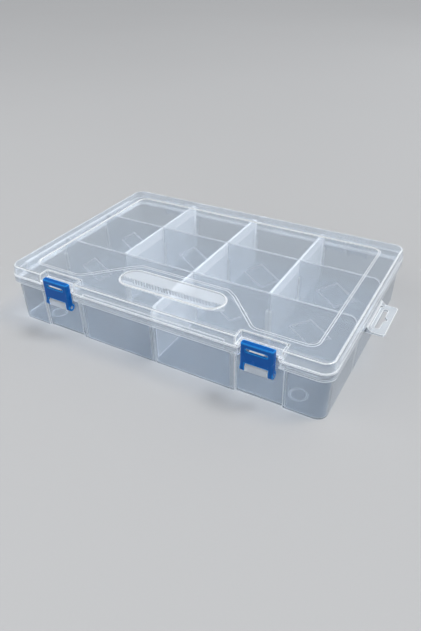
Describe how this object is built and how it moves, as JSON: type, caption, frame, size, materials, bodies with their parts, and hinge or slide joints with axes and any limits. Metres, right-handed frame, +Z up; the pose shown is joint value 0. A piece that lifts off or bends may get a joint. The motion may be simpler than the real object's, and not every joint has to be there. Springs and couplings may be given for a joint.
{
  "type": "compartment storage case",
  "caption": "Flat see-through storage case with a hinged lid, snap latches, lift-out partitions and a hanger tab.",
  "frame": {"origin": "centre of the footprint of the closed case, on the flat bottom", "axes": "+X to the right, towards the hanger tab; +Y to the back, towards the hinges; +Z up"},
  "size_m": [0.3565, 0.2374, 0.0626],
  "materials": {
    "case_clear": "clear, slightly milky moulded polypropylene, glossy",
    "divider_clear": "clear, slightly frosted moulded polypropylene",
    "latch_blue": "glossy solid blue plastic"
  },
  "bodies": {
    "base": {"base_tray": "case_clear", "row_partition_front": "divider_clear", "row_partition_back": "divider_clear", "back_divider_left": "divider_clear", "back_divider_centre": "divider_clear", "back_divider_right": "divider_clear", "middle_divider_left": "divider_clear", "middle_divider_centre": "divider_clear", "middle_divider_right": "divider_clear", "front_divider_centre": "divider_clear"},
    "cover": {"lid": "case_clear"},
    "left_latch": {"latch_left": "latch_blue"},
    "right_latch": {"latch_right": "latch_blue"}
  },
  "joints": [
    {"name": "lid_hinge", "type": "hinge", "parent": "base", "child": "cover", "pos_m": [0, 0.1173, 0.0398], "axis": [-1, 0, 0], "range_deg": [0, 180]},
    {"name": "left_latch_pivot", "type": "hinge", "parent": "base", "child": "left_latch", "pos_m": [-0.1065, -0.1122, 0.0347], "axis": [1, 0, 0], "range_deg": [0, 150]},
    {"name": "right_latch_pivot", "type": "hinge", "parent": "base", "child": "right_latch", "pos_m": [0.1065, -0.1122, 0.0347], "axis": [1, 0, 0], "range_deg": [0, 150]}
  ]
}
